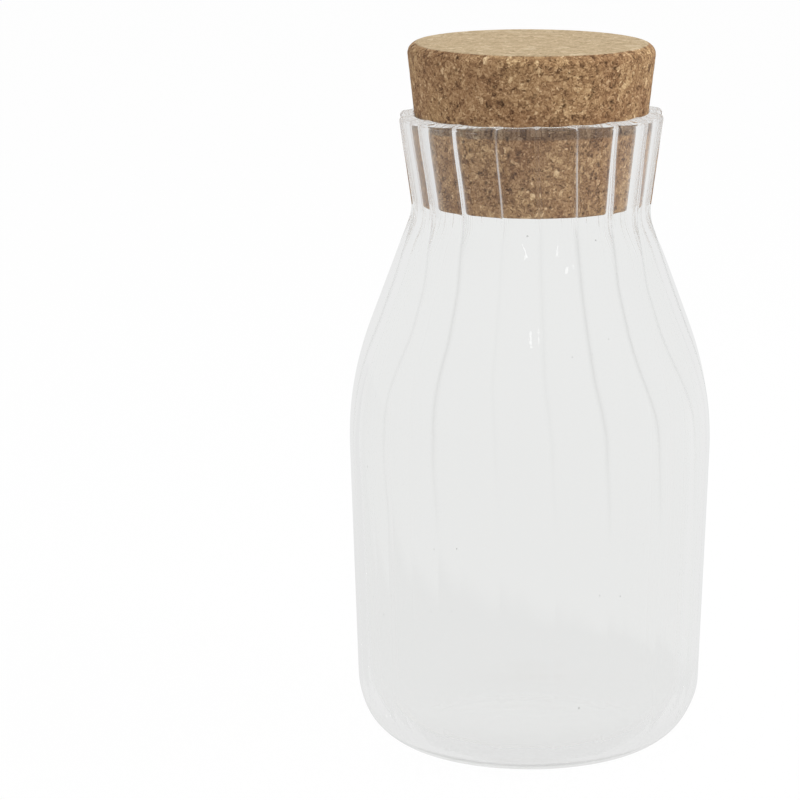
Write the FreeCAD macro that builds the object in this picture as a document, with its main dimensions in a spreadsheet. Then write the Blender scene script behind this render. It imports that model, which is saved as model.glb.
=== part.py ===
import FreeCAD, Part
import math
import os

import Sketcher

# Fluted glass jar with a tapered cork stopper, in millimetres.
# +Z is up, and the origin is the centre of the foot, on the surface that the jar stands on.

# Driving sizes. A radius and a level give a corner of the section, before that corner is rounded.
SIZES = [
    ("jar_height", 155.0),
    ("base_radius", 40.9),
    ("shoulder_radius", 44.0),
    ("shoulder_height", 41.5),
    ("throat_radius", 28.5),
    ("neck_height", 25.0),
    ("rim_radius", 31.8),
    ("heel_round", 17.0),
    ("shoulder_round", 79.0),
    ("throat_round", 10.0),
    ("rim_round", 1.7),
    ("wall_thickness", 2.4),
    ("floor_thickness", 4.0),
    ("flute_count", 18),
    ("flute_depth", 1.1),
    ("flute_round", 2.2),
    ("cork_length", 38.0),
    ("cork_top_radius", 29.7),
    ("cork_bottom_radius", 25.4),
    ("cork_insertion", 22.4),
    ("cork_clearance", 0.1),
    ("cork_top_round", 2.6),
    ("cork_bottom_round", 0.6),
]

# Sizes that follow from the driving ones. The bore of the neck is the cork's own cone plus its clearance.
DERIVED = [
    ("throat_level", "jar_height - neck_height"),
    ("shoulder_level", "throat_level - shoulder_height"),
    ("cork_taper", "(cork_top_radius - cork_bottom_radius) / cork_length"),
    ("cork_level", "jar_height - cork_insertion"),
    ("rim_bore", "cork_bottom_radius + cork_taper * cork_insertion + cork_clearance"),
    ("throat_bore", "rim_bore - cork_taper * neck_height"),
    ("shoulder_bore", "shoulder_radius - wall_thickness"),
    ("base_bore", "base_radius - wall_thickness"),
    ("rim_edge_round", "min(rim_round; 0.48 * (rim_radius - rim_bore))"),
    ("throat_bore_round", "throat_round + throat_radius - throat_bore"),
    ("shoulder_bore_round", "shoulder_round - wall_thickness"),
    ("heel_bore_round", "heel_round - wall_thickness"),
    ("flute_offset", "flute_round - flute_depth"),
    ("flute_base_radius", "base_radius + flute_offset"),
    ("flute_shoulder_radius", "shoulder_radius + flute_offset"),
    ("flute_throat_radius", "throat_radius + flute_offset"),
    ("flute_rim_radius", "rim_radius + flute_offset"),
    ("flute_shoulder_round", "shoulder_round + flute_offset"),
    ("flute_throat_round", "throat_round - flute_offset"),
]

doc = FreeCAD.newDocument("FlutedJar")
sheet = doc.addObject("Spreadsheet::Sheet", "Sizes")


def fill_sheet():
    """Write the driving sizes as plain numbers and the others as formulas, each with its alias."""
    cells = [(name, str(value)) for name, value in SIZES]
    cells += [(name, "=" + formula) for name, formula in DERIVED]
    for row, (name, content) in enumerate(cells, start=1):
        sheet.set(f"A{row}", name)
        sheet.set(f"B{row}", content)
        sheet.setAlias(f"B{row}", name)
    doc.recompute()


def size(name):
    """The number behind an alias, or zero for a corner that lies on an axis."""
    return float(sheet.get(name)) if name else 0.0


def origin_feature(body, role):
    """The plane or axis of a body's own origin that has this role."""
    return next(item for item in body.Origin.OriginFeatures if item.Role == role)


def new_sketch(body, name, plane):
    """An empty sketch on one of the body's origin planes."""
    sketch = body.newObject("Sketcher::SketchObject", name)
    sketch.AttachmentSupport = (origin_feature(body, plane), [""])
    sketch.MapMode = "FlatFace"
    doc.recompute()
    return sketch


def bind(sketch, kind, *target):
    """Add one dimension whose value is the size with the alias given last."""
    *geometry, name = target
    index = sketch.addConstraint(Sketcher.Constraint(kind, *geometry, abs(size(name))))
    sketch.setExpression(f"Constraints[{index}]", f"Sizes.{name}")


def place_point(sketch, item, end, corner):
    """Hold a point at a corner's radius and level. None puts it on the axis or on the ground."""
    radius, level = corner[:2]
    if radius:
        bind(sketch, "DistanceX", -1, 1, item, end, radius)
    else:
        sketch.addConstraint(Sketcher.Constraint("PointOnObject", item, end, -2))
    if level:
        bind(sketch, "DistanceY", -1, 1, item, end, level)
    else:
        sketch.addConstraint(Sketcher.Constraint("PointOnObject", item, end, -1))


def rounded_corner(before, corner, after, radius):
    """Tangent points and middle of the arc that rounds a corner."""
    towards = [(before - corner).normalize(), (after - corner).normalize()]
    half_angle = towards[0].getAngle(towards[1]) / 2
    run = radius / math.tan(half_angle)
    middle = (towards[0] + towards[1]).normalize()
    deep = radius / math.sin(half_angle) - radius
    return corner + towards[0] * run, corner + middle * deep, corner + towards[1] * run


def draw_outline(sketch, corners, closed):
    """Lines through the corners, each (radius, level, rounding), joined by tangent arcs where rounded."""
    points = [FreeCAD.Vector(size(radius), size(level), 0) for radius, level, _ in corners]
    count = len(points)
    arcs = {}
    for i, (_, _, rounding) in enumerate(corners):
        if rounding:
            arcs[i] = rounded_corner(points[i - 1], points[i], points[(i + 1) % count], size(rounding))

    lines = []
    for i in range(count if closed else count - 1):
        j = (i + 1) % count
        start = arcs[i][2] if i in arcs else points[i]
        finish = arcs[j][0] if j in arcs else points[j]
        lines.append(sketch.addGeometry(Part.LineSegment(start, finish), False))

    for i, corner in enumerate(corners):
        if i in arcs:
            before, after = lines[i - 1], lines[i]
            arc = sketch.addGeometry(Part.Arc(*arcs[i]), False)
            starts_here = sketch.getPoint(arc, 1).distanceToPoint(arcs[i][0]) < 1e-6
            first, last = (1, 2) if starts_here else (2, 1)
            sketch.addConstraint(Sketcher.Constraint("Tangent", before, 2, arc, first))
            sketch.addConstraint(Sketcher.Constraint("Tangent", arc, last, after, 1))
            bind(sketch, "Radius", arc, corner[2])
            vertex = sketch.addGeometry(Part.Point(points[i]), True)
            sketch.addConstraint(Sketcher.Constraint("PointOnObject", vertex, 1, before))
            sketch.addConstraint(Sketcher.Constraint("PointOnObject", vertex, 1, after))
            place_point(sketch, vertex, 1, corner)
        elif closed or i < count - 1:
            if closed or i > 0:
                sketch.addConstraint(Sketcher.Constraint("Coincident", lines[i - 1], 2, lines[i], 1))
            place_point(sketch, lines[i], 1, corner)
        else:
            place_point(sketch, lines[i - 1], 2, corner)
    doc.recompute()


def turned_body(label, corners):
    """A body turned about the upright axis from a closed outline of radii and levels."""
    body = doc.addObject("PartDesign::Body", label)
    body.Label = label
    sketch = new_sketch(body, label + "_section", "XZ_Plane")
    draw_outline(sketch, corners, closed=True)
    turned = body.newObject("PartDesign::Revolution", label + "_turned")
    turned.Profile = sketch
    turned.ReferenceAxis = (sketch, ["V_Axis"])
    turned.Angle = 360
    doc.recompute()
    return body


def cut_flutes(body):
    """Upright creases all round, following the outside from the heel, where they run out, over the rim."""
    plain_volume = body.Shape.Volume
    path = new_sketch(body, "flute_path", "XZ_Plane")
    draw_outline(path, [
        ("flute_base_radius", None, None),
        ("flute_shoulder_radius", "shoulder_level", "flute_shoulder_round"),
        ("flute_throat_radius", "throat_level", "flute_throat_round"),
        ("flute_rim_radius", "jar_height", None),
    ], closed=False)

    section = new_sketch(body, "flute_section", "XY_Plane")
    centre = FreeCAD.Vector(size("flute_base_radius"), 0, 0)
    circle = section.addGeometry(Part.Circle(centre, FreeCAD.Vector(0, 0, 1), size("flute_round")), False)
    place_point(section, circle, 3, ("flute_base_radius", None))
    bind(section, "Radius", circle, "flute_round")
    doc.recompute()

    flute = body.newObject("PartDesign::SubtractivePipe", "flute")
    flute.Profile = section
    flute.Spine = path
    doc.recompute()

    ring = body.newObject("PartDesign::PolarPattern", "flute_ring")
    ring.Originals = [flute]
    ring.Axis = (origin_feature(body, "Z_Axis"), [""])
    ring.Angle = 360
    ring.setExpression("Occurrences", "Sizes.flute_count")
    body.Tip = ring
    doc.recompute()
    if body.Shape.Volume >= plain_volume:
        raise RuntimeError("the flutes cut nothing")


def make_jar():
    """One blown piece of glass: flat foot, rounded heel, shoulder, throat and fire-polished rim."""
    jar = turned_body("glass_jar", [
        (None, None, None),
        ("base_radius", None, "heel_round"),
        ("shoulder_radius", "shoulder_level", "shoulder_round"),
        ("throat_radius", "throat_level", "throat_round"),
        ("rim_radius", "jar_height", "rim_edge_round"),
        ("rim_bore", "jar_height", "rim_edge_round"),
        ("throat_bore", "throat_level", "throat_bore_round"),
        ("shoulder_bore", "shoulder_level", "shoulder_bore_round"),
        ("base_bore", "floor_thickness", "heel_bore_round"),
        (None, "floor_thickness", None),
    ])
    cut_flutes(jar)
    return jar


def make_cork():
    """One tapered bung of pressed cork, seated in the neck down to its insertion depth."""
    cork = turned_body("cork_stopper", [
        (None, None, None),
        ("cork_bottom_radius", None, "cork_bottom_round"),
        ("cork_top_radius", "cork_length", "cork_top_round"),
        (None, "cork_length", None),
    ])
    cork.setExpression("Placement.Base.z", "Sizes.cork_level")
    doc.recompute()
    return cork


def check(bodies):
    """Stop if any object failed to compute or any body has no valid solid."""
    for item in doc.Objects:
        if "Invalid" in item.State or "Error" in item.State:
            raise RuntimeError(f"{item.Label} failed to compute")
    for body in bodies:
        if body.Shape.isNull() or not body.Shape.isValid():
            raise RuntimeError(f"{body.Label} has no valid solid")


fill_sheet()
bodies = [make_jar(), make_cork()]
check(bodies)
os.makedirs("parts", exist_ok=True)
for body in bodies:
    body.Shape.exportStep(f"parts/{body.Label}.step")
    print(body.Label, round(body.Shape.Volume), "mm3", body.Shape.BoundBox)
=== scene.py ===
import math

import bpy
from mathutils import Matrix, Quaternion, Vector, noise


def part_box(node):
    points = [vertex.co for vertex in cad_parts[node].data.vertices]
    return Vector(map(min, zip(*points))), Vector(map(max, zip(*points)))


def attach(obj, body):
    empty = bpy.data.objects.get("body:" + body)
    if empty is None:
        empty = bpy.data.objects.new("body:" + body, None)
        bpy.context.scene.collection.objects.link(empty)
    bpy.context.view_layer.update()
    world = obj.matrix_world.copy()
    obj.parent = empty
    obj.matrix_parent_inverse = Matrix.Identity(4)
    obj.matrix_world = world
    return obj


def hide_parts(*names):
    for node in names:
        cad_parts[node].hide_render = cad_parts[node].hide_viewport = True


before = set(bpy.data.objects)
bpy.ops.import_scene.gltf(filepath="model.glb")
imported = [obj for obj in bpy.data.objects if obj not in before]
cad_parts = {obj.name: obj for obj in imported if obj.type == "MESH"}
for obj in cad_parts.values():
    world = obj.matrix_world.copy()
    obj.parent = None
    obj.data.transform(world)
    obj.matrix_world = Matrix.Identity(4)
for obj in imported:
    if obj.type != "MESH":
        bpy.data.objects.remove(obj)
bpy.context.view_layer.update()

# Fluted glass jar with a cork stopper: the looks of the two pieces, the light and the camera.
# Lengths are written in millimetres and levels above the foot, and MM turns them into metres.
MM = 0.001
jar_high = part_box("glass_jar")[1]
cork_low, cork_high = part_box("cork_stopper")

# Section of the jar, the same corners and roundings as the solid.
JAR_HEIGHT = jar_high.z / MM
NECK_HEIGHT = 25.0
SHOULDER_HEIGHT = 41.5
THROAT_LEVEL = JAR_HEIGHT - NECK_HEIGHT
SHOULDER_LEVEL = THROAT_LEVEL - SHOULDER_HEIGHT
BASE_RADIUS = 40.9
SHOULDER_RADIUS = 44.0
THROAT_RADIUS = 28.5
RIM_RADIUS = 31.8
HEEL_ROUND = 17.0
SHOULDER_ROUND = 79.0
THROAT_ROUND = 10.0
WALL = 2.4
FLOOR_THICKNESS = 4.0

# Section of the cork, read from its solid where the box gives it.
CORK_LEVEL = cork_low.z / MM
CORK_TOP = cork_high.z / MM
CORK_TOP_RADIUS = 29.7
CORK_BOTTOM_RADIUS = 25.4
CORK_TOP_ROUND = 2.6
CORK_BOTTOM_ROUND = 0.6
CORK_CLEARANCE = 0.1

# How finely the pieces are divided: steps along the lines and arcs of a section, the fewest steps in an
# arc, and the columns round each piece, which crowd towards the ridges of the jar.
JAR_LINE_STEP = 2.0
JAR_ARC_STEP = 0.8
CORK_LINE_STEP = 0.4
CORK_ARC_STEP = 0.35
FEWEST_ARC_STEPS = 6
COLUMNS_PER_PANEL = 32
COLUMN_CROWDING = 0.6
CORK_COLUMNS = 540

# Ridges between the hollow panels: the nine that face the camera stand where the photograph shows them at
# the neck, in degrees to the right of the front, and the rest share the back evenly.
FLUTE_COUNT = 18
FRONT_RIDGES = (-79.3, -56.5, -35.5, -15.0, 2.5, 20.0, 39.8, 59.6, 80.0)
# Their height and half width, the hollow of the panels, their turn about the axis and how far those at the
# sides are drawn to the front, in degrees, and how dark the painted shade line along the ridges is, each as
# (level, value) pairs.
RIDGE_HEIGHT = ((10.0, 0.0), (40.0, 0.03), (100.0, 0.05), (122.0, 0.1), (131.0, 0.6), (155.0, 0.35))
RIDGE_HALF_WIDTH = ((30.0, 2.0), (122.0, 1.6), (131.0, 1.15), (155.0, 0.75))
PANEL_HOLLOW = (
    (3.0, 0.0), (14.0, 0.3), (60.0, 0.3), (100.0, 0.2), (118.0, 0.15), (131.0, 0.55), (155.0, 0.65),
)
RIDGE_TURN = ((60.0, 6.0), (80.0, 4.6), (100.0, 2.3), (130.0, 2.0), (152.0, 0.0))
RIDGE_DRAW = ((84.0, 0.0), (107.0, 10.5), (114.0, 10.5), (133.0, 0.0))
RIDGE_PAINTED_SHADE = ((56.0, 0.0), (70.0, 0.35), (88.0, 0.8), (104.0, 1.0), (127.0, 1.0), (133.0, 0.0))
# What is left of that drawing towards the back, by the cosine of the angle from the front.
DRAW_FADE = ((-0.17, 0.0), (0.5, 1.0))
# How large each of the nine is, how dark the painted shade line along it is, and how strong the painted
# highlight on its crest is at the neck. The ones at the back all have the same size and painted shade, and
# no highlight.
FRONT_SIZES = (1.0, 1.0, 2.0, 1.0, 1.0, 1.0, 2.0, 1.0, 1.0)
FRONT_PAINTED_SHADES = (0.4, 0.22, 0.35, 0.06, 0.12, 0.38, 0.4, 0.3, 0.55)
FRONT_PAINTED_HIGHLIGHTS = (0.0, 0.0, 0.0, 0.5, 0.0, 0.5, 0.0, 0.0, 0.0)
BACK_SIZE = 1.0
BACK_PAINTED_SHADE = 0.3
PAINTED_SHADE_HALF_WIDTH = 1.3
RIDGE_PAINTED_HIGHLIGHT = ((131.0, 0.0), (133.0, 1.0), (146.0, 1.0), (152.0, 0.3))
PAINTED_HIGHLIGHT_HALF_WIDTH = 0.35
# The relief fades where the surface turns level, and this is how fast.
RELIEF_EASE = 1.5
# The heel has a little painted shade, and the edge of the foot a dark line of painted contact shadow near
# the front. It rises to the back and is uneven, and FOOT_LINE_WAVES says how often its strength changes.
HEEL_PAINTED_SHADE = ((0.2, 0.0), (2.0, 0.13), (8.0, 0.13), (16.0, 0.0))
FOOT_LINE_LEVEL = 3.2
FOOT_LINE_RISE = 3.0
FOOT_LINE_HALF_WIDTH = 0.9
FOOT_LINE_TURN = math.radians(-20.0)
FOOT_LINE_STRENGTH = 0.9
FOOT_LINE_UNEVENNESS = 0.5
FOOT_LINE_WAVES = 3.0
# The rim slopes down to its outer edge, dips a little between the ridges and is lower on the left.
RIM_SLOPE = 0.6
RIM_SLANT = 0.5
RIM_SLANT_REACH = 14.0
RIM_OUTER_ROUND = 1.2
RIM_INNER_ROUND = 0.7
RIM_DIP = 0.25
RIM_DIP_REACH = 4.0

# Glass: nearly clear, grey at its seeds and where painted shade darkens it. GLASS_GLOSS weakens its
# reflections of the bright surround, and each surface passes GLASS_SHADOW of the light straight on to the
# cork and the floor.
GLASS_IOR = 1.5
GLASS_GLOSS = (0.4, 0.4, 0.4, 1.0)
GLASS_CLEAR = (0.994, 0.997, 0.992)
GLASS_SEED_AND_PAINTED_SHADE = (0.40, 0.41, 0.39)
GLASS_SHADOW = (0.97, 0.97, 0.97, 1.0)
# Seeds: cells to a metre, and the shares of a cell from its middle at which a seed begins and is full.
SEED_CELLS = 70.0
SEED_EDGE = (0.02, 0.012)
# Ripple: waves to a metre across and along the jar, and their depth.
RIPPLE_WAVES = (90.0, 90.0, 45.0)
RIPPLE_DETAIL = 1.5
RIPPLE_DEPTH = 0.06

# Relief of the cork: pits and a fine grain, of which the sanded ends lose a share where they are level.
PIT_DEPTH = 0.3
GRAIN_DEPTH = 0.12
GRAIN_WAVES = 1.3
SANDED_LOSS = 0.8
SANDED_LEVEL = ((0.85, 0.0), (0.97, 1.0))
# A pit lies in the middle of a cell. The cells are warped by waves, and PIT_SEED keeps those the same in
# each run. Each cell draws a value from minus one to one at its own place, spread by PIT_SCATTER, and has
# no pit below the least draw.
PIT_CELL = 1.7
PIT_REACH = 0.36
PIT_WARP = 0.5
PIT_WARP_WAVES = 0.8
PIT_SEED = 1
PIT_SCATTER = 7.3
PIT_LEAST_DRAW = 0.2

# Grain of the cork, in chips, small grains and a few large ones, so many to a millimetre. Waves warp them
# all, and the fine grain within is stretched differently in each chip.
CHIPS_PER_MM = 0.75
GRAINS_PER_MM = 2.2
LARGE_GRAINS_PER_MM = 0.4
GRAIN_WARP = 1.6
GRAIN_WARP_WAVES = {"Scale": 0.9, "Detail": 2.0}
FINE_GRAIN = {"Scale": 1.7, "Detail": 5.0, "Roughness": 0.75, "Distortion": 0.6}
LEAST_STRETCH = 0.4
STRETCH_RANGE = 1.7
# What each of them adds to the tone of the cork. A few chips and grains are pale or dark: those whose
# random value passes a soft step.
CHIP_TONE = 0.2
GRAIN_TONE = 0.26
FINE_TONE = 1.4
PALE_TONE = 0.2
DARK_TONE = -0.16
TONE_OFFSET = -0.44
PALE_CHIPS = (0.92, 0.97)
DARK_CHIPS = (0.90, 0.97)
PALE_GRAINS = (0.88, 0.96)
DARK_GRAINS = (0.90, 0.97)
LARGE_GRAINS = (0.8, 1.3)
# Colours of the cork as (tone, colour) pairs, for its side and its sanded ends, and tints for patches.
SIDE_BROWNS = (
    (0.15, (0.090, 0.045, 0.023)),
    (0.36, (0.250, 0.134, 0.065)),
    (0.56, (0.430, 0.255, 0.126)),
    (0.74, (0.605, 0.400, 0.218)),
    (0.92, (0.820, 0.605, 0.365)),
)
SANDED_BROWNS = (
    (0.05, (0.30, 0.200, 0.105)),
    (0.30, (0.46, 0.340, 0.197)),
    (0.65, (0.63, 0.485, 0.305)),
    (0.95, (0.82, 0.680, 0.475)),
)
PALE_LARGE_GRAIN = (0.85, 0.72, 0.51)
DARK_LARGE_GRAIN = (0.36, 0.25, 0.14)
PATCH_WAVES = {"Scale": 0.09, "Detail": 2.0}
PATCH_TINTS = (
    (0.30, (0.80, 0.74, 0.72)),
    (0.50, (1.00, 1.00, 1.00)),
    (0.70, (1.10, 1.14, 1.12)),
)
PIT_BROWN = (0.06, 0.030, 0.014)
PIT_SHADE = (0.0, 0.9)
# Painted shade darkens a ring of the cork just under the rim: the soft lower and upper edges of the ring.
RIM_SHADE_TINT = (0.68, 0.74, 0.86)
RIM_SHADE_LOWER_EDGE = (151.0, 151.6)
RIM_SHADE_UPPER_EDGE = (154.2, 153.4)
# The sanded ends begin where the surface is this level, a little sooner or later by the tone.
SANDED_EDGE = (0.91, 0.97)
SANDED_EDGE_WANDER = 0.06
CORK_GLOSS = 0.2
CORK_ROUGHNESS = 0.75
CORK_ROUGHNESS_RANGE = 0.2
CORK_BUMP = 0.7
CORK_BUMP_DEPTH = 0.25

# Brightness of the surround, where one is white: to the eye, in and through glass, and on matte surfaces.
# Through glass the floor is a little duller near the jar, a painted shadow: its level rises twice along a
# slanting direction, each time by a given amount between two distances.
WHITE = (1.0, 1.0, 1.0, 1.0)
BACKDROP_LEVEL = 1.0
GLASS_LEVEL = 0.83
NEAR_GLASS_LEVEL = 0.775
FAR_DIRECTION = (0.7, 0.7, 0.0)
FLOOR_RISES = ((70.0, 100.0, 0.035), (100.0, 500.0, 0.02))
MATTE_LEVEL = 0.8
GLASS_BOUNCES = 400
FLOOR_COLOUR = (0.95, 0.95, 0.95, 1.0)
FLOOR_ROUGHNESS = 0.9
FLOOR_SELF_LIT = 0.94
FLOOR_DROP = 0.1
FLOOR_HALF_WIDTH = 4000.0

# Lamps stand in directions in degrees to the right of the front and up. The softbox is a square that
# doesn't show in the glass. Small ones glint in the shoulder, each with its direction, its width and height
# and its lean in degrees. They are equally bright, where the surround's level is about one.
LAMP_DISTANCE = 1200.0
SOFTBOX_DIRECTION = (76.0, 42.0)
SOFTBOX_SIZE = 900.0
SOFTBOX_POWER = 7.4
GLINTS = (
    (-10.5, 42.4, 10.0, 46.0, 21.0),
    (30.95, 41.8, 10.0, 33.0, -22.0),
    (29.9, 34.4, 12.0, 42.0, 0.0),
    (-3.2, 29.8, 16.0, 12.0, 0.0),
)
GLINT_LEVEL = 7.0

# Photograph: 800 pixels square, with the jar's axis to the right of the middle.
IMAGE_SIZE = 800
AXIS_PIXEL = (529.5, 397.3)
FOCAL_PIXELS = 3872.7
SENSOR_WIDTH = 36.0
CAMERA_DISTANCE = 931.8
CAMERA_TARGET_LEVEL = 84.9
CAMERA_ELEVATION = math.radians(11.85)
CAMERA_ROLL = math.radians(0.35)
CAMERA_NEAREST = 10.0

# Numbers of a Mix node's sockets for colours: the factor, the two colours and the result.
MIX_INPUTS = (0, 6, 7)
MIX_OUTPUT = 2


def blend_steps(level, steps):
    """Value at a level from a short list of (level, value) pairs, eased between them."""
    if level <= steps[0][0]:
        return steps[0][1]
    for (low, first), (high, second) in zip(steps, steps[1:]):
        if level <= high:
            share = (level - low) / (high - low)
            share = share * share * (3 - 2 * share)
            return first + (second - first) * share
    return steps[-1][1]


def fade_out(distance, reach):
    """One at no distance, falling evenly to zero at the reach."""
    return max(0.0, 1 - distance / reach)


def rounded_path(corners, line_step, arc_step):
    """Points along lines through the corners, each (radius, level, rounding), with the corners rounded."""
    points = [Vector(corner[:2]) for corner in corners]
    path = [points[0]]
    for i in range(1, len(points) - 1):
        back = (points[i - 1] - points[i]).normalized()
        ahead = (points[i + 1] - points[i]).normalized()
        half = back.angle(ahead) / 2
        rounding = corners[i][2]
        run = rounding / math.tan(half)
        centre = points[i] + (back + ahead).normalized() * rounding / math.sin(half)
        add_line(path, points[i] + back * run, line_step)
        start = path[-1] - centre
        turn = start.angle_signed(points[i] + ahead * run - centre)
        count = max(FEWEST_ARC_STEPS, round(abs(turn) * rounding / arc_step))
        for k in range(1, count + 1):
            path.append(centre + Matrix.Rotation(-turn * k / count, 2) @ start)
    add_line(path, points[-1], line_step)
    return path


def add_line(path, finish, step):
    """Continue a path in a straight line."""
    start = path[-1]
    count = max(1, round((finish - start).length / step))
    for k in range(1, count + 1):
        path.append(start.lerp(finish, k / count))


def path_normals(path):
    """Normals to the right of a path's direction, which point out of a section drawn anticlockwise."""
    normals = []
    for i in range(len(path)):
        along = path[min(i + 1, len(path) - 1)] - path[max(i - 1, 0)]
        normals.append(Vector((along.y, -along.x)).normalized())
    return normals


def turned_mesh(name, path, count, shape_point):
    """Closed mesh of count columns, turned from a path that starts and ends on the axis.

    shape_point(index, column) gives a point's angle from the front, radius and level, in millimetres.
    """
    vertices = [(0.0, 0.0, path[0].y * MM)]
    rings = []
    for i in range(1, len(path) - 1):
        rings.append(len(vertices))
        for column in range(count):
            angle, radius, level = shape_point(i, column)
            vertices.append((radius * math.sin(angle) * MM, -radius * math.cos(angle) * MM, level * MM))
    last = len(vertices)
    vertices.append((0.0, 0.0, path[-1].y * MM))
    faces = []
    for j in range(count):
        k = (j + 1) % count
        faces.append((0, rings[0] + k, rings[0] + j))
        faces.append((last, rings[-1] + j, rings[-1] + k))
        for low, high in zip(rings, rings[1:]):
            faces.append((low + j, low + k, high + k, high + j))
    mesh = bpy.data.meshes.new(name)
    mesh.from_pydata(vertices, [], faces)
    mesh.polygons.foreach_set("use_smooth", [True] * len(faces))
    mesh.update()
    return mesh


def add_values(mesh, name, values):
    """Keep a value for each point of a turned mesh for its material, and zero for the two on the axis."""
    attribute = mesh.attributes.new(name, "FLOAT", "POINT")
    attribute.data.foreach_set("value", [0.0, *values, 0.0])


def add_piece(name, mesh, material, body, node):
    """Put a piece in the scene in place of a CAD node."""
    piece = bpy.data.objects.new(name, mesh)
    bpy.context.scene.collection.objects.link(piece)
    mesh.materials.append(material)
    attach(piece, body)
    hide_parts(node)


def new_material(name):
    """A material with its node tree and its one shader."""
    material = bpy.data.materials.new(name)
    material.use_nodes = True
    tree = material.node_tree
    tree.nodes.clear()
    output = tree.nodes.new("ShaderNodeOutputMaterial")
    shader = tree.nodes.new("ShaderNodeBsdfPrincipled")
    tree.links.new(shader.outputs["BSDF"], output.inputs["Surface"])
    return material, tree, shader


def add_node(tree, kind, inputs=(), **settings):
    """Add a node, set its properties, and set or link its inputs, given by name or number."""
    node = tree.nodes.new("ShaderNode" + kind)
    for key, value in settings.items():
        setattr(node, key, value)
    for key, value in dict(inputs).items():
        if isinstance(value, bpy.types.NodeSocket):
            tree.links.new(value, node.inputs[key])
        else:
            node.inputs[key].default_value = value
    return node


def add_ramp(tree, factor, stops):
    """A colour ramp with the given (position, colour) stops."""
    ramp = add_node(tree, "ValToRGB", {"Fac": factor})
    elements = ramp.color_ramp.elements
    while len(elements) < len(stops):
        elements.new(0.5)
    for element, (position, colour) in zip(elements, stops):
        element.position = position
        element.color = (*colour, 1.0)
    return ramp.outputs["Color"]


def add_mix(tree, factor, first, second, blend="MIX"):
    """A colour between two sockets or colours."""
    mix = add_node(tree, "Mix", data_type="RGBA", blend_type=blend)
    sockets = [mix.inputs[number] for number in MIX_INPUTS]
    for socket, value in zip(sockets, (factor, first, second)):
        if isinstance(value, bpy.types.NodeSocket):
            tree.links.new(value, socket)
        else:
            socket.default_value = value if socket.type == "VALUE" else (*value, 1.0)
    return mix.outputs[MIX_OUTPUT]


def add_mixed_surface(tree, factor, first, second):
    """Show a mix of two shaders as the material's surface."""
    mix = add_node(tree, "MixShader", {0: factor, 1: first, 2: second})
    tree.links.new(mix.outputs["Shader"], tree.nodes["Material Output"].inputs["Surface"])


def add_between(tree, share, first, second):
    """A number between two, which is the first at a share of zero and the second at one."""
    return add_node(tree, "MapRange", {
        "Value": share, "To Min": first, "To Max": second,
    }).outputs["Result"]


def add_step(tree, value, low, high):
    """A smooth step from zero at low to one at high, which may be the lesser of the two."""
    return add_node(tree, "MapRange", {
        "Value": value, "From Min": low, "From Max": high,
    }, interpolation_type="SMOOTHSTEP").outputs["Result"]


def add_math(tree, operation, *values):
    """The result of a calculation with sockets or numbers."""
    return add_node(tree, "Math", enumerate(values), operation=operation).outputs[0]


def add_sum(tree, terms, offset):
    """The sum of sockets, each times its weight, and an offset."""
    total = offset
    for socket, weight in terms:
        total = add_math(tree, "MULTIPLY_ADD", socket, weight, total)
    return total


def ridge_angles():
    """All ridge angles in order, starting with the ones that face the camera."""
    front = [math.radians(angle) for angle in FRONT_RIDGES]
    spare = FLUTE_COUNT - len(front) + 1
    gap = (front[0] + math.tau - front[-1]) / spare
    return front + [front[-1] + gap * k for k in range(1, spare)]


def ridge_values(front, back):
    """A value for each ridge in order: its own for one that faces the camera, and the same for the rest."""
    return list(front) + [back] * (FLUTE_COUNT - len(front))


def panel_columns(ridges):
    """Columns crowded towards each ridge.

    A column has its angle, the share of the panel passed, the panel's width, the size of the ridges there
    and the number of the nearer one.
    """
    sizes = ridge_values(FRONT_SIZES, BACK_SIZE)
    columns = []
    for panel, first in enumerate(ridges):
        after = (panel + 1) % FLUTE_COUNT
        width = (ridges[after] - first) % math.tau
        for k in range(COLUMNS_PER_PANEL):
            share = k / COLUMNS_PER_PANEL
            eased = share - COLUMN_CROWDING * math.sin(math.tau * share) / math.tau
            size = blend_steps(share, ((0.0, sizes[panel]), (1.0, sizes[after])))
            nearer = panel if share < 0.5 else after
            columns.append((first + width * eased, eased, width, size, nearer))
    return columns


def turned_angle(angle, level):
    """A column's angle at a level, where the ridges turn a little and those at the sides are drawn in."""
    side = math.sin(angle)
    fade = blend_steps(math.cos(angle), DRAW_FADE)
    drawn = blend_steps(level, RIDGE_DRAW) * side * abs(side) * fade
    return angle + math.radians(blend_steps(level, RIDGE_TURN) - drawn)


def painted_foot_shadow(level, angle):
    """Painted contact shadow at the edge of the foot on the jar's outside, darker in some places than in
    others.
    """
    around = Vector((math.sin(angle), math.cos(angle), 0.0)) * FOOT_LINE_WAVES
    facing = 0.5 + 0.5 * math.cos(angle - FOOT_LINE_TURN)
    strength = min(1.0, FOOT_LINE_STRENGTH + FOOT_LINE_UNEVENNESS * noise.noise(around)) * facing
    middle = FOOT_LINE_LEVEL + FOOT_LINE_RISE * (1 - math.cos(angle))
    return strength * fade_out(abs(level - middle), FOOT_LINE_HALF_WIDTH)


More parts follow.
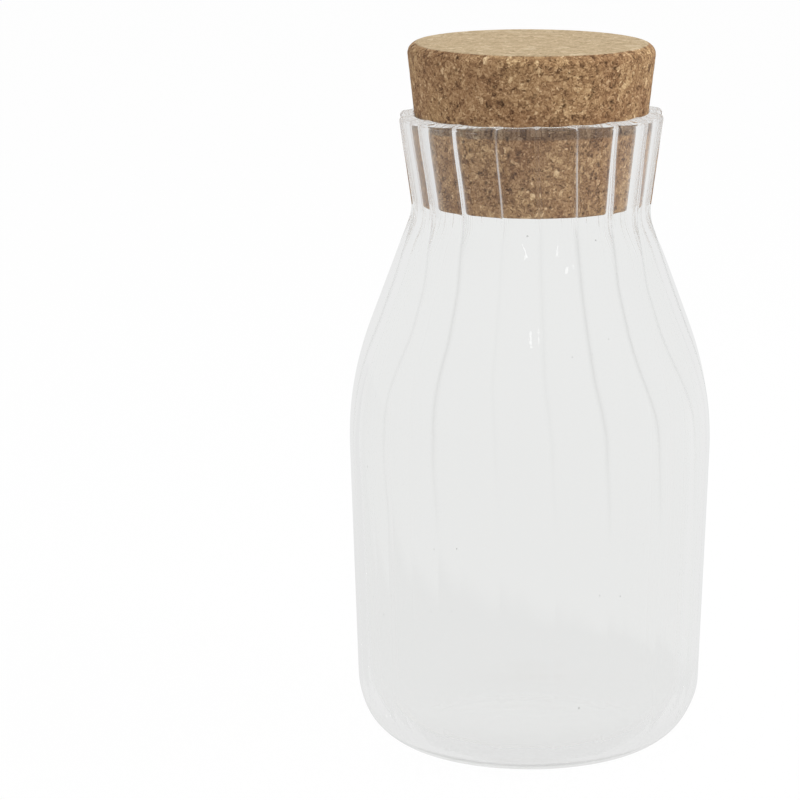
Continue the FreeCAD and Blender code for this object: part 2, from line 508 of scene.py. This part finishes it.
def jar_path():
    """Section of the jar's wall from the middle of the foot, round the rim, to the middle of the inside."""
    taper = (CORK_TOP_RADIUS - CORK_BOTTOM_RADIUS) / (CORK_TOP - CORK_LEVEL)
    rim_bore = CORK_BOTTOM_RADIUS + taper * (JAR_HEIGHT - CORK_LEVEL) + CORK_CLEARANCE
    throat_bore = rim_bore - taper * NECK_HEIGHT
    corners = [
        (0.0, 0.0, 0.0),
        (BASE_RADIUS, 0.0, HEEL_ROUND),
        (SHOULDER_RADIUS, SHOULDER_LEVEL, SHOULDER_ROUND),
        (THROAT_RADIUS, THROAT_LEVEL, THROAT_ROUND),
        (RIM_RADIUS, JAR_HEIGHT - RIM_SLOPE, RIM_OUTER_ROUND),
        (rim_bore, JAR_HEIGHT, RIM_INNER_ROUND),
        (throat_bore, THROAT_LEVEL, THROAT_ROUND + THROAT_RADIUS - throat_bore),
        (SHOULDER_RADIUS - WALL, SHOULDER_LEVEL, SHOULDER_ROUND - WALL),
        (BASE_RADIUS - WALL, FLOOR_THICKNESS, HEEL_ROUND - WALL),
        (0.0, FLOOR_THICKNESS, 0.0),
    ]
    return rounded_path(corners, JAR_LINE_STEP, JAR_ARC_STEP)


def make_jar():
    """Blown glass with hollow panels between sharp ridges, which turn a little and run out at the heel.

    The ridges, panels and marks are on the outside, which ends at the rim. The inside is smooth.
    """
    path = jar_path()
    normals = path_normals(path)
    rim = max(range(len(path)), key=lambda i: path[i].y)
    columns = panel_columns(ridge_angles())
    ridge_painted_shades = ridge_values(FRONT_PAINTED_SHADES, BACK_PAINTED_SHADE)
    crest_highlights = ridge_values(FRONT_PAINTED_HIGHLIGHTS, 0.0)
    painted_shades, painted_highlight = [], []

    def shape_point(i, column):
        point, normal = path[i], normals[i]
        angle, share, width, size, nearer = columns[column]
        angle = turned_angle(angle, point.y)
        arc = min(share, 1 - share) * width * point.x
        hollow = 1 - (2 * share - 1) ** 2
        sunk, painted_shade, crest_highlight = 0.0, 0.0, 0.0
        if i <= rim:
            ridge = fade_out(arc, size * blend_steps(point.y, RIDGE_HALF_WIDTH)) ** 2
            sunk = size * blend_steps(point.y, RIDGE_HEIGHT) * (1 - ridge)
            sunk += blend_steps(point.y, PANEL_HOLLOW) * hollow
            # Painted shade in the glass colour: a dark line along each ridge, a greyer heel and the foot's
            # contact shadow.
            line = ridge_painted_shades[nearer] * blend_steps(point.y, RIDGE_PAINTED_SHADE) * fade_out(arc, PAINTED_SHADE_HALF_WIDTH) ** 2
            painted_shade = max(line, blend_steps(point.y, HEEL_PAINTED_SHADE), painted_foot_shadow(point.y, angle))
            # Painted highlight: the crests of two ridges at the neck turn partly matte white.
            crest_highlight = crest_highlights[nearer] * blend_steps(point.y, RIDGE_PAINTED_HIGHLIGHT) * fade_out(arc, PAINTED_HIGHLIGHT_HALF_WIDTH)
        painted_shades.append(painted_shade)
        painted_highlight.append(crest_highlight)
        moved = point - normal * sunk * max(0.0, min(1.0, normal.x * RELIEF_EASE))
        below = JAR_HEIGHT - point.y
        dip = RIM_DIP * hollow * fade_out(below, RIM_DIP_REACH)
        slant = RIM_SLANT * (1 - math.sin(angle)) * fade_out(below, RIM_SLANT_REACH)
        return angle, moved.x, moved.y - dip - slant

    mesh = turned_mesh("fluted_jar", path, len(columns), shape_point)
    # The "line" values are painted shade.
    add_values(mesh, "line", painted_shades)
    add_values(mesh, "painted_highlight", painted_highlight)
    add_piece("fluted_jar", mesh, glass_material(), "jar", "glass_jar")


def glass_material():
    """Clear glass with a faint ripple, tiny seeds and crests with a painted highlight, which lets light
    through to the cork.

    The painted shade lines show only from outside, so that those of the far wall don't show through the
    jar.
    """
    material, tree, shader = new_material("clear_blown_glass")
    shader.inputs["Roughness"].default_value = 0.0
    shader.inputs["IOR"].default_value = GLASS_IOR
    shader.inputs["Specular Tint"].default_value = GLASS_GLOSS
    # Painted highlight: on two crests at the neck the glass passes less light and shows partly matte white.
    painted_highlight = add_node(tree, "Attribute", attribute_name="painted_highlight").outputs["Fac"]
    tree.links.new(add_sum(tree, ((painted_highlight, -1.0),), offset=1.0), shader.inputs["Transmission Weight"])
    place = add_node(tree, "TexCoord").outputs["Object"]
    # Painted shade from the "line" values greys the glass where it is seen from outside; the seeds are real
    # specks.
    line = add_node(tree, "Attribute", attribute_name="line").outputs["Fac"]
    inside = add_node(tree, "NewGeometry").outputs["Backfacing"]
    line = add_between(tree, inside, line, 0.0)
    cell = add_node(tree, "TexVoronoi", {"Vector": place, "Scale": SEED_CELLS}).outputs["Distance"]
    seed = add_step(tree, cell, *SEED_EDGE)
    colour = add_mix(tree, add_math(tree, "MAXIMUM", line, seed), GLASS_CLEAR, GLASS_SEED_AND_PAINTED_SHADE)
    tree.links.new(colour, shader.inputs["Base Color"])
    waves = add_node(tree, "Mapping", {"Vector": place, "Scale": RIPPLE_WAVES}).outputs["Vector"]
    ripple = add_node(tree, "TexNoise", {"Vector": waves, "Scale": 1.0, "Detail": RIPPLE_DETAIL})
    bump = add_node(tree, "Bump", {
        "Height": ripple.outputs["Fac"], "Strength": 1.0, "Distance": RIPPLE_DEPTH * MM,
    })
    tree.links.new(bump.outputs["Normal"], shader.inputs["Normal"])

    rays = add_node(tree, "LightPath").outputs
    passing = add_math(tree, "MAXIMUM", rays["Is Shadow Ray"], rays["Is Diffuse Ray"])
    clear = add_node(tree, "BsdfTransparent", {"Color": GLASS_SHADOW})
    add_mixed_surface(tree, passing, shader.outputs["BSDF"], clear.outputs["BSDF"])
    return material


def cork_path():
    """Section of the cork from the middle of its bottom to the middle of its top."""
    corners = [
        (0.0, CORK_LEVEL, 0.0),
        (CORK_BOTTOM_RADIUS, CORK_LEVEL, CORK_BOTTOM_ROUND),
        (CORK_TOP_RADIUS, CORK_TOP, CORK_TOP_ROUND),
        (0.0, CORK_TOP, 0.0),
    ]
    return rounded_path(corners, CORK_LINE_STEP, CORK_ARC_STEP)


def make_cork():
    """Tapered bung of pressed granules, with open pits in its skin and a finer relief between them."""
    noise.seed_set(PIT_SEED)
    path = cork_path()
    normals = path_normals(path)
    depths = []

    def shape_point(i, column):
        point, normal = path[i], normals[i]
        angle = math.tau * column / CORK_COLUMNS
        place = Vector((point.x * math.sin(angle), -point.x * math.cos(angle), point.y))
        rough = 1.0 - SANDED_LOSS * blend_steps(abs(normal.y), SANDED_LEVEL)
        pit = rough * cork_pit(place)
        depths.append(pit)
        grain = 0.5 + 0.5 * noise.noise(place * GRAIN_WAVES)
        moved = point - normal * (PIT_DEPTH * pit + GRAIN_DEPTH * rough * grain)
        return angle, moved.x, moved.y

    mesh = turned_mesh("cork_bung", path, CORK_COLUMNS, shape_point)
    add_values(mesh, "pit", depths)
    add_piece("cork_bung", mesh, cork_material(), "stopper", "cork_stopper")


def cork_pit(place):
    """Share of a full pit's depth at a place. Some cells hold a pit, where a granule broke out."""
    warped = place + noise.noise_vector(place * PIT_WARP_WAVES) * PIT_WARP
    near, centres = noise.voronoi(warped / PIT_CELL)
    if noise.cell(centres[0] * PIT_SCATTER) < PIT_LEAST_DRAW:
        return 0.0
    return fade_out(near[0], PIT_REACH)


def cork_material():
    """Pressed cork: granules of several browns on its side, and paler ones on its sanded ends."""
    material, tree, shader = new_material("pressed_cork")
    place = add_node(tree, "TexCoord").outputs["Object"]
    measured = add_node(tree, "Mapping", {"Vector": place, "Scale": [1 / MM] * 3}).outputs["Vector"]
    drift = add_node(tree, "TexNoise", {"Vector": measured, **GRAIN_WARP_WAVES}).outputs["Color"]
    warped = add_node(tree, "VectorMath", {
        0: drift, 1: [GRAIN_WARP] * 3, 2: measured,
    }, operation="MULTIPLY_ADD").outputs["Vector"]
    tone, fine = cork_tone(tree, warped)

    normal = add_node(tree, "NewGeometry").outputs["Normal"]
    upright = add_node(tree, "SeparateXYZ", {"Vector": normal}).outputs["Z"]
    level = add_math(tree, "ABSOLUTE", upright)
    level = add_sum(tree, ((tone, SANDED_EDGE_WANDER), (level, 1.0)), offset=-SANDED_EDGE_WANDER / 2)
    sanded = add_step(tree, level, *SANDED_EDGE)
    colour = add_mix(tree, sanded, cork_side(tree, measured, tone), cork_end(tree, warped, tone))
    tree.links.new(colour, shader.inputs["Base Color"])

    shader.inputs["Specular IOR Level"].default_value = CORK_GLOSS
    rough = add_sum(tree, ((fine, CORK_ROUGHNESS_RANGE),), offset=CORK_ROUGHNESS)
    tree.links.new(rough, shader.inputs["Roughness"])
    bump = add_node(tree, "Bump", {"Height": tone, "Strength": CORK_BUMP, "Distance": CORK_BUMP_DEPTH * MM})
    tree.links.new(bump.outputs["Normal"], shader.inputs["Normal"])
    return material


def add_granules(tree, place, count):
    """Random colours for granules, so many to a millimetre, and their three values by name."""
    colours = add_node(tree, "TexVoronoi", {"Vector": place, "Scale": count}).outputs["Color"]
    return colours, add_node(tree, "SeparateColor", {"Color": colours}).outputs


def cork_tone(tree, place):
    """How pale the cork is, from its chips, small grains and fine grain, and the fine grain by itself."""
    chips, chip = add_granules(tree, place, CHIPS_PER_MM)
    grain = add_granules(tree, place, GRAINS_PER_MM)[1]
    stretch = add_node(tree, "VectorMath", {
        0: chips, 1: [STRETCH_RANGE] * 3, 2: [LEAST_STRETCH] * 3,
    }, operation="MULTIPLY_ADD").outputs["Vector"]
    stretched = add_node(tree, "VectorMath", {0: place, 1: stretch}, operation="MULTIPLY").outputs["Vector"]
    fine = add_node(tree, "TexNoise", {"Vector": stretched, **FINE_GRAIN}).outputs["Fac"]
    tone = add_sum(tree, (
        (chip["Red"], CHIP_TONE),
        (grain["Red"], GRAIN_TONE),
        (fine, FINE_TONE),
        (add_step(tree, chip["Green"], *PALE_CHIPS), PALE_TONE),
        (add_step(tree, chip["Blue"], *DARK_CHIPS), DARK_TONE),
        (add_step(tree, grain["Green"], *PALE_GRAINS), PALE_TONE),
        (add_step(tree, grain["Blue"], *DARK_GRAINS), DARK_TONE),
    ), offset=TONE_OFFSET)
    return tone, fine


def cork_side(tree, place, tone):
    """Browns of the tapered side in broad patches, with dark pits and a ring of painted shade under the
    rim.
    """
    patch = add_node(tree, "TexNoise", {"Vector": place, **PATCH_WAVES}).outputs["Fac"]
    tint = add_ramp(tree, patch, PATCH_TINTS)
    side = add_mix(tree, 1.0, add_ramp(tree, tone, SIDE_BROWNS), tint, blend="MULTIPLY")
    pit = add_node(tree, "Attribute", attribute_name="pit").outputs["Fac"]
    side = add_mix(tree, add_step(tree, pit, *PIT_SHADE), side, PIT_BROWN)
    # Painted shade on the ring just under the rim.
    level = add_node(tree, "SeparateXYZ", {"Vector": place}).outputs["Z"]
    lower = add_step(tree, level, *RIM_SHADE_LOWER_EDGE)
    upper = add_step(tree, level, *RIM_SHADE_UPPER_EDGE)
    rim_shade = add_math(tree, "MINIMUM", lower, upper)
    return add_mix(tree, rim_shade, side, RIM_SHADE_TINT, blend="MULTIPLY")


def cork_end(tree, place, tone):
    """Paler browns of the sanded ends, with a few large grains, pale or dark."""
    large = add_granules(tree, place, LARGE_GRAINS_PER_MM)[1]
    sanded = add_ramp(tree, tone, SANDED_BROWNS)
    sanded = add_mix(tree, add_step(tree, large["Green"], *LARGE_GRAINS), sanded, PALE_LARGE_GRAIN)
    return add_mix(tree, add_step(tree, large["Blue"], *LARGE_GRAINS), sanded, DARK_LARGE_GRAIN)


def make_stage():
    """A pale floor that stays white round the object and keeps its shadow, under a white surround."""
    half, level = FLOOR_HALF_WIDTH * MM, -FLOOR_DROP * MM
    corners = [(-half, -half, level), (half, -half, level), (half, half, level), (-half, half, level)]
    mesh = bpy.data.meshes.new("floor")
    mesh.from_pydata(corners, [], [(0, 1, 2, 3)])
    mesh.materials.append(floor_material())
    floor = bpy.data.objects.new("floor", mesh)
    bpy.context.scene.collection.objects.link(floor)

    world = bpy.data.worlds.new("white_surround")
    bpy.context.scene.world = world
    world.use_nodes = True
    tree = world.node_tree
    tree.nodes.clear()
    background = add_node(tree, "Background", {
        "Color": WHITE, "Strength": surround_level(tree, GLASS_LEVEL),
    })
    output = add_node(tree, "OutputWorld")
    tree.links.new(background.outputs["Background"], output.inputs["Surface"])


def surround_level(tree, glass_level):
    """The surround's brightness for each kind of ray: from the eye, in or through glass, or matte."""
    rays = add_node(tree, "LightPath").outputs
    glass = add_math(tree, "MAXIMUM", rays["Is Glossy Ray"], rays["Is Transmission Ray"])
    level = add_between(tree, glass, MATTE_LEVEL, glass_level)
    return add_between(tree, rays["Is Camera Ray"], level, BACKDROP_LEVEL)


def floor_material():
    """Matte white, mostly self-lit to the eye and to glass so that it stays as pale as the surround."""
    material, tree, shader = new_material("pale_floor")
    shader.inputs["Base Color"].default_value = FLOOR_COLOUR
    shader.inputs["Roughness"].default_value = FLOOR_ROUGHNESS
    shader.inputs["Specular IOR Level"].default_value = 0.0
    place = add_node(tree, "TexCoord").outputs["Object"]
    # Painted shadow: seen through glass, the floor's glow is duller near the jar.
    away = add_node(tree, "VectorMath", {0: place, 1: FAR_DIRECTION}, operation="DOT_PRODUCT")
    rises = []
    for low, high, rise in FLOOR_RISES:
        rises.append((add_step(tree, away.outputs["Value"], low * MM, high * MM), rise))
    level = surround_level(tree, add_sum(tree, rises, offset=NEAR_GLASS_LEVEL))
    glow = add_node(tree, "Emission", {"Color": WHITE, "Strength": level})
    add_mixed_surface(tree, FLOOR_SELF_LIT, shader.outputs["BSDF"], glow.outputs["Emission"])
    return material


def add_lamp(name, azimuth, elevation, width, height, power, glints, lean=0.0):
    """An area lamp that looks at the middle of the jar from a direction, and may show in the glass."""
    data = bpy.data.lights.new(name, "AREA")
    data.shape = "RECTANGLE"
    data.size = width * MM
    data.size_y = height * MM
    data.energy = power
    lamp = bpy.data.objects.new(name, data)
    bpy.context.scene.collection.objects.link(lamp)
    a, e = math.radians(azimuth), math.radians(elevation)
    away = Vector((math.sin(a) * math.cos(e), -math.cos(a) * math.cos(e), math.sin(e)))
    lamp.location = Vector((0, 0, CAMERA_TARGET_LEVEL * MM)) + away * (LAMP_DISTANCE * MM)
    leaning = Quaternion((0, 0, 1), math.radians(lean))
    lamp.rotation_mode = "QUATERNION"
    lamp.rotation_quaternion = away.to_track_quat("Z", "Y") @ leaning
    lamp.visible_camera = False
    lamp.visible_glossy = glints
    lamp.visible_transmission = glints


def make_lamps():
    """A soft lamp from the right, and the small ones that glint."""
    add_lamp("softbox", *SOFTBOX_DIRECTION, SOFTBOX_SIZE, SOFTBOX_SIZE, SOFTBOX_POWER, glints=False)
    for number, (azimuth, elevation, width, height, lean) in enumerate(GLINTS, start=1):
        power = GLINT_LEVEL * math.pi * (width * MM) * (height * MM)
        add_lamp(f"glint_{number}", azimuth, elevation, width, height, power, glints=True, lean=lean)


def make_camera():
    """The photograph's view: a little above the shoulder, with the jar to the right of the middle."""
    data = bpy.data.cameras.new("photo_camera")
    camera = bpy.data.objects.new("photo_camera", data)
    bpy.context.scene.collection.objects.link(camera)
    distance = CAMERA_DISTANCE * MM
    place = Vector((
        0.0,
        -distance * math.cos(CAMERA_ELEVATION),
        CAMERA_TARGET_LEVEL * MM + distance * math.sin(CAMERA_ELEVATION),
    ))
    tilt = Matrix.Rotation(math.pi / 2 - CAMERA_ELEVATION, 4, "X")
    camera.matrix_world = Matrix.Translation(place) @ tilt @ Matrix.Rotation(CAMERA_ROLL, 4, "Z")
    data.sensor_width = SENSOR_WIDTH
    data.lens = FOCAL_PIXELS / IMAGE_SIZE * SENSOR_WIDTH
    data.shift_x = (IMAGE_SIZE / 2 - AXIS_PIXEL[0]) / IMAGE_SIZE
    data.shift_y = (AXIS_PIXEL[1] - IMAGE_SIZE / 2) / IMAGE_SIZE
    data.clip_start = CAMERA_NEAREST * MM
    bpy.context.scene.camera = camera


def set_light_paths():
    """Let light cross the many walls and bends of the glass before it is given up."""
    cycles = bpy.context.scene.cycles
    cycles.max_bounces = GLASS_BOUNCES
    cycles.transmission_bounces = GLASS_BOUNCES
    cycles.glossy_bounces = GLASS_BOUNCES


make_jar()
make_cork()
make_stage()
make_lamps()
make_camera()
set_light_paths()
bpy.context.scene.view_settings.view_transform = "Standard"
